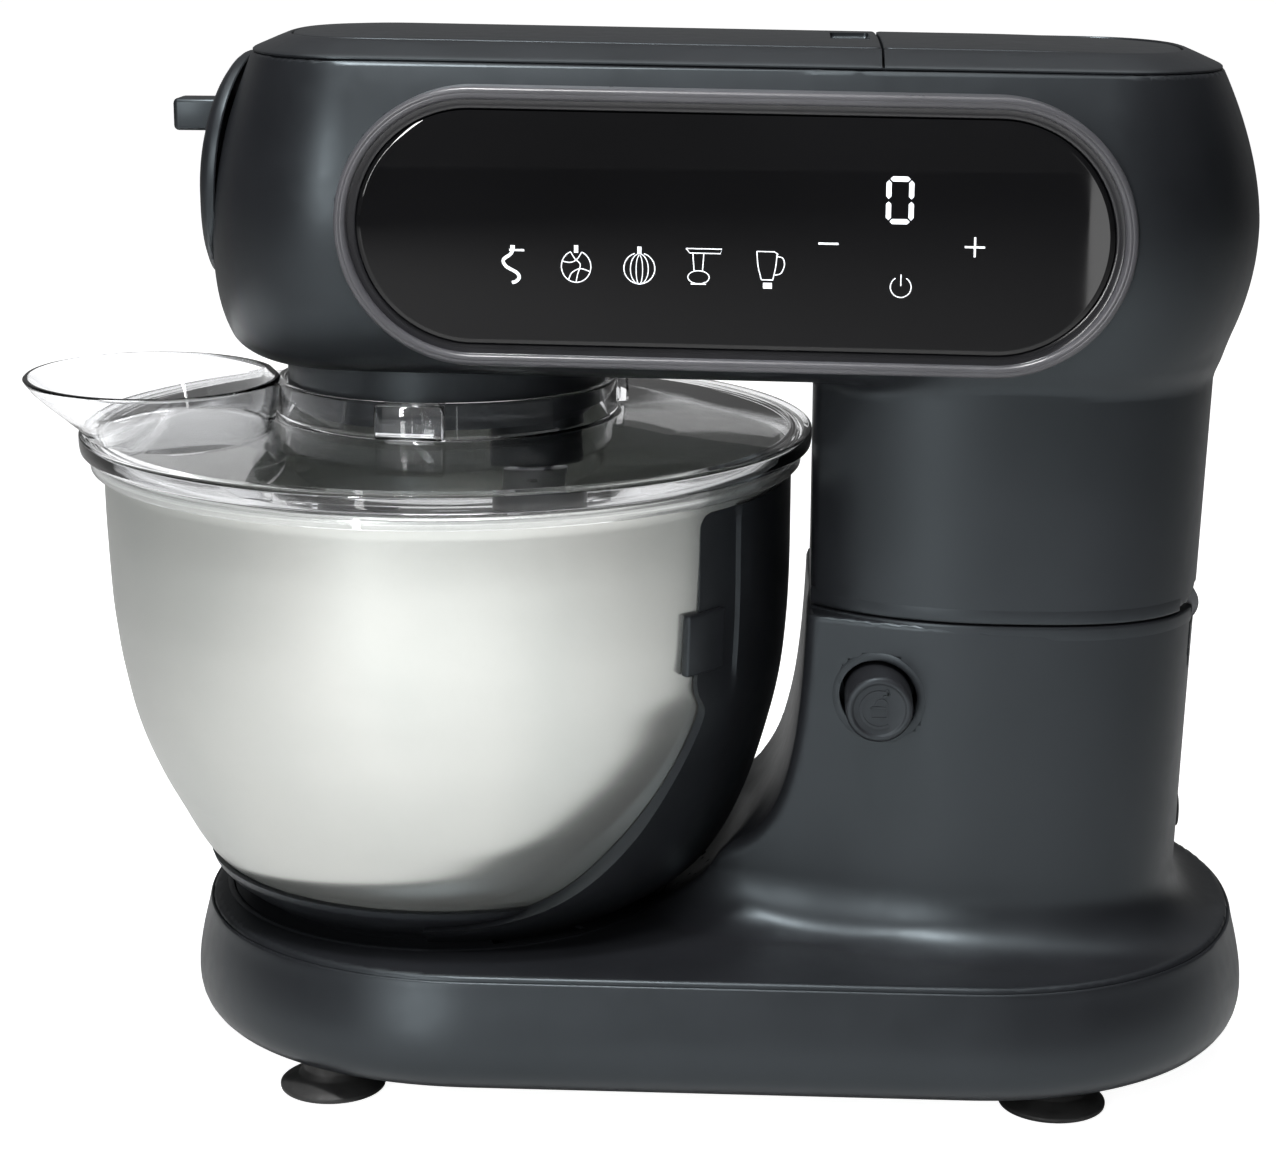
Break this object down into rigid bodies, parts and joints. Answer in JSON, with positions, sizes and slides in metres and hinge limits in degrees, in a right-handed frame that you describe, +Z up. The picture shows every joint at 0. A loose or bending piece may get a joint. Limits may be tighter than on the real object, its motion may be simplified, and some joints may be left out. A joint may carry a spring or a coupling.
{
  "type": "tilt-head stand mixer",
  "caption": "Tilt-head stand mixer with a touch panel, steel bowl with a black cradle, clear splash lid with pouring chute, planetary drive, and front and top outlets.",
  "frame": {"origin": "middle of the footprint on the surface the suction feet stand on", "axes": "+Z up; the nose and bowl towards -X, the column at +X; the touch panel and release button face -Y"},
  "size_m": [0.3908, 0.2332, 0.3215],
  "materials": {
    "satin_black": "fine satin moulded plastic",
    "soft_black": "soft-touch matte plastic",
    "hub_black": "matte moulded plastic",
    "gloss_black": "semi-gloss plastic",
    "panel_glass": "black glass, polished",
    "clear_plastic": "clear moulded plastic",
    "polished_steel": "satin-polished stainless steel",
    "bright_steel": "turned bright steel",
    "zinc_steel": "zinc-plated pressed steel",
    "cast_aluminium": "cast, lightly blasted",
    "copper_winding": "varnished copper over laminated steel",
    "brass": "pressed brass",
    "gear_nylon": "natural nylon",
    "circuit_board": "solder-masked board",
    "rubber": "matte rubber"
  },
  "bodies": {
    "stand": {"base_shell": "satin_black", "bottom_plate": "satin_black", "bottom_screws": "bright_steel", "suction_feet": "rubber", "foot_screws": "bright_steel", "bowl_seat": "satin_black", "seat_screws": "bright_steel", "hinge_pin": "bright_steel", "cord_gland": "rubber", "hinge_posts": "zinc_steel", "latch_guide": "satin_black", "latch_spring": "bright_steel", "button_spring": "bright_steel"},
    "button": {"release_button": "soft_black"},
    "latch": {"latch_bolt": "bright_steel"},
    "head": {"head_shell": "satin_black", "tilt_plate": "zinc_steel", "plate_screws": "bright_steel", "latch_hook": "bright_steel", "hub_housing": "hub_black", "ring_gear": "gear_nylon", "hub_bearing": "bright_steel", "gearbox_plate": "cast_aluminium", "plate_bearings": "bright_steel", "gearbox_screws": "bright_steel", "motor_stator": "copper_winding", "motor_brackets": "cast_aluminium", "motor_bearings": "bright_steel", "brush_holders": "brass", "motor_screws": "bright_steel", "drive_belt": "rubber", "outlet_sleeve": "satin_black", "top_cover": "satin_black", "blender_socket": "satin_black", "panel_bezel": "gloss_black", "panel_glass": "panel_glass", "display_board": "circuit_board", "power_board": "circuit_board"},
    "carrier": {"planet_carrier": "hub_black", "main_shaft": "bright_steel", "main_gear": "gear_nylon", "main_bevel": "gear_nylon"},
    "tool": {"planet_gear": "gear_nylon", "tool_shaft": "bright_steel", "tool_pin": "bright_steel", "flat_beater": "cast_aluminium"},
    "layshaft": {"layshaft": "bright_steel", "belt_pulley": "gear_nylon"},
    "rotor": {"motor_armature": "copper_winding", "motor_fan": "satin_black", "motor_pulley": "bright_steel", "blender_coupling": "hub_black"},
    "outlet_drive": {"outlet_shaft": "bright_steel"},
    "front_cap": {"outlet_cap": "satin_black"},
    "top_cap": {"blender_cover": "satin_black"},
    "lid": {"splash_lid": "clear_plastic", "pouring_chute": "clear_plastic"},
    "bowl_set": {"bowl": "polished_steel", "bowl_jacket": "satin_black", "bowl_foot": "satin_black"}
  },
  "joints": [
    {"name": "head_tilt", "type": "hinge", "parent": "stand", "child": "head", "pos_m": [0.166, 0, 0.148], "axis": [0, 1, 0], "range_deg": [0, 33]},
    {"name": "release_press", "type": "slide", "parent": "stand", "child": "button", "axis": [0, 1, 0], "range_m": [0, 0.005], "stiffness_N_per_m": 500},
    {"name": "latch_slide", "type": "slide", "parent": "stand", "child": "latch", "axis": [0, 1, 0], "range_m": [0, 0.005]},
    {"name": "carrier_spin", "type": "hinge", "parent": "head", "child": "carrier", "pos_m": [-0.065, 0, 0.207], "axis": [0, 0, 1], "continuous": true},
    {"name": "tool_spin", "type": "hinge", "parent": "carrier", "child": "tool", "pos_m": [-0.0362, 0, 0.2], "axis": [0, 0, 1], "continuous": true},
    {"name": "layshaft_spin", "type": "hinge", "parent": "head", "child": "layshaft", "pos_m": [-0.008, 0, 0.25], "axis": [0, 0, 1], "continuous": true},
    {"name": "rotor_spin", "type": "hinge", "parent": "head", "child": "rotor", "pos_m": [0.114, 0, 0.2], "axis": [0, 0, 1], "continuous": true},
    {"name": "outlet_spin", "type": "hinge", "parent": "head", "child": "outlet_drive", "pos_m": [-0.1, 0, 0.276], "axis": [-1, 0, 0], "continuous": true},
    {"name": "cap_pull", "type": "slide", "parent": "head", "child": "front_cap", "axis": [-0.9877, 0, 0.1564], "range_m": [0, 0.03]},
    {"name": "cover_lift", "type": "slide", "parent": "head", "child": "top_cap", "axis": [0, 0, 1], "range_m": [0, 0.03]},
    {"name": "lid_twist", "type": "hinge", "parent": "head", "child": "lid", "pos_m": [-0.065, 0, 0.2], "axis": [0, 0, 1], "range_deg": [-20, 0]},
    {"name": "bowl_turn", "type": "hinge", "parent": "stand", "child": "bowl_set", "pos_m": [-0.065, 0, 0.045], "axis": [0, 0, 1], "range_deg": [0, 30]}
  ],
  "couplings": [
    {"joint": "latch_slide", "follows": "release_press", "ratio": 1},
    {"joint": "tool_spin", "follows": "carrier_spin", "ratio": -3},
    {"joint": "layshaft_spin", "follows": "carrier_spin", "ratio": -3.75},
    {"joint": "rotor_spin", "follows": "carrier_spin", "ratio": -9.375},
    {"joint": "outlet_spin", "follows": "carrier_spin", "ratio": 2}
  ]
}
